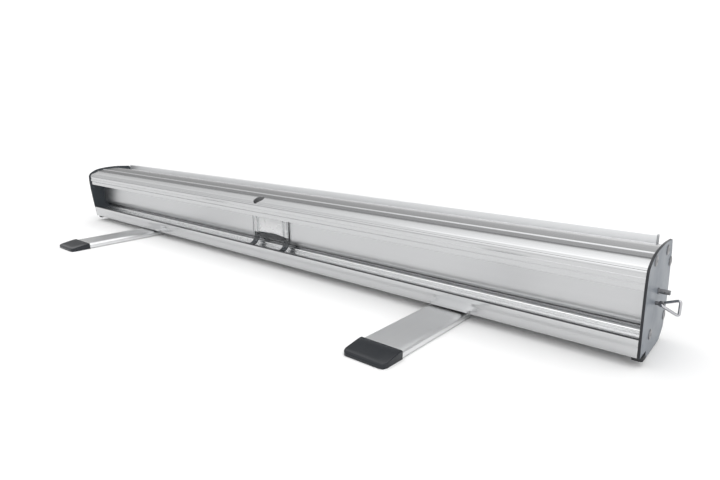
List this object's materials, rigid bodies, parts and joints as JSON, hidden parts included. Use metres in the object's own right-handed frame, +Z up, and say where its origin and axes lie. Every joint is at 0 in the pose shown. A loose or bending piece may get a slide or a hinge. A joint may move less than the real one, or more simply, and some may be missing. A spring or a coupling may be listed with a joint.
{
  "type": "roll-up banner stand",
  "caption": "Closed retractable banner cassette: extruded aluminium body with a pole recess, sprung roller, top rail in its slot, lock pin and ring, and swing-out feet.",
  "frame": {"origin": "mid-length of the cassette, on the line through the roller axis and both foot pivots, at floor height", "axes": "+X along the cassette towards the lock pin, +Y towards the printed side, -Y towards the pole recess, +Z up"},
  "size_m": [0.891, 0.3184, 0.0915],
  "materials": {
    "anodised_aluminium": "satin anodised, fine lines along the extrusion",
    "plate_paint": "satin blue-grey",
    "steel": "zinc-plated",
    "dark_steel": "dark drawn steel",
    "ring_wire": "bright nickel wire",
    "rubber": "matt black",
    "charcoal_plastic": "semi-gloss charcoal",
    "black_plastic": "matt black",
    "grey_plastic": "light grey",
    "natural_nylon": "natural nylon",
    "banner_film": "matt white film",
    "clear_plastic": "clear polycarbonate"
  },
  "bodies": {
    "cassette": {"cassette_base": "anodised_aluminium", "cassette_shell": "anodised_aluminium", "end_plate_left": "plate_paint", "end_plate_right": "plate_paint", "end_screws_left": "steel", "end_screws_right": "steel", "corner_pads": "rubber", "slot_guard": "black_plastic", "spring_arbor": "dark_steel", "arbor_collar": "steel", "idler_axle": "steel", "idler_washer": "steel", "idler_nut": "steel", "banner_lead": "banner_film", "banner_web": "banner_film", "pole_clip": "clear_plastic", "foot_bolt_left": "steel", "foot_bolt_right": "steel", "foot_washer_left": "steel", "foot_washer_right": "steel", "foot_nut_left": "steel", "foot_nut_right": "steel"},
    "roller": {"roller_tube": "anodised_aluminium", "roller_plug_left": "natural_nylon", "roller_plug_right": "natural_nylon", "spring_anchor": "natural_nylon", "torsion_spring": "steel", "banner_roll": "banner_film"},
    "rail": {"top_rail": "anodised_aluminium", "rail_grip_strip": "natural_nylon", "rail_cap_left": "grey_plastic", "rail_cap_right": "grey_plastic"},
    "lock_pin": {"lock_pin": "steel"},
    "lock_ring": {"lock_ring": "ring_wire"},
    "foot_left": {"foot_left": "anodised_aluminium", "foot_cap_left_back": "charcoal_plastic", "foot_cap_left_front": "charcoal_plastic"},
    "foot_right": {"foot_right": "anodised_aluminium", "foot_cap_right_back": "charcoal_plastic", "foot_cap_right_front": "charcoal_plastic"}
  },
  "joints": [
    {"name": "foot_left_swing", "type": "hinge", "parent": "cassette", "child": "foot_left", "pos_m": [-0.2645, 0, 0.004], "axis": [0, 0, 1], "range_deg": [-90, 0]},
    {"name": "foot_right_swing", "type": "hinge", "parent": "cassette", "child": "foot_right", "pos_m": [0.2645, 0, 0.004], "axis": [0, 0, 1], "range_deg": [0, 90]},
    {"name": "rail_lift", "type": "slide", "parent": "cassette", "child": "rail", "axis": [0, 0, 1], "range_m": [0, 2], "stiffness_N_per_m": 4, "springref_m": -1, "deforming": ["banner_web"]},
    {"name": "roller_spin", "type": "hinge", "parent": "cassette", "child": "roller", "pos_m": [0, 0, 0.053], "axis": [1, 0, 0], "continuous": true},
    {"name": "lock_pin_pull", "type": "slide", "parent": "cassette", "child": "lock_pin", "axis": [1, 0, 0], "range_m": [-0.0016, 0.005]},
    {"name": "lock_ring_swing", "type": "hinge", "parent": "lock_pin", "child": "lock_ring", "pos_m": [0.4362, -0.005, 0.0445], "axis": [0, 1, 0], "range_deg": [-70, 70]}
  ],
  "couplings": [
    {"joint": "roller_spin", "follows": "rail_lift", "rad_per_m": 74}
  ]
}
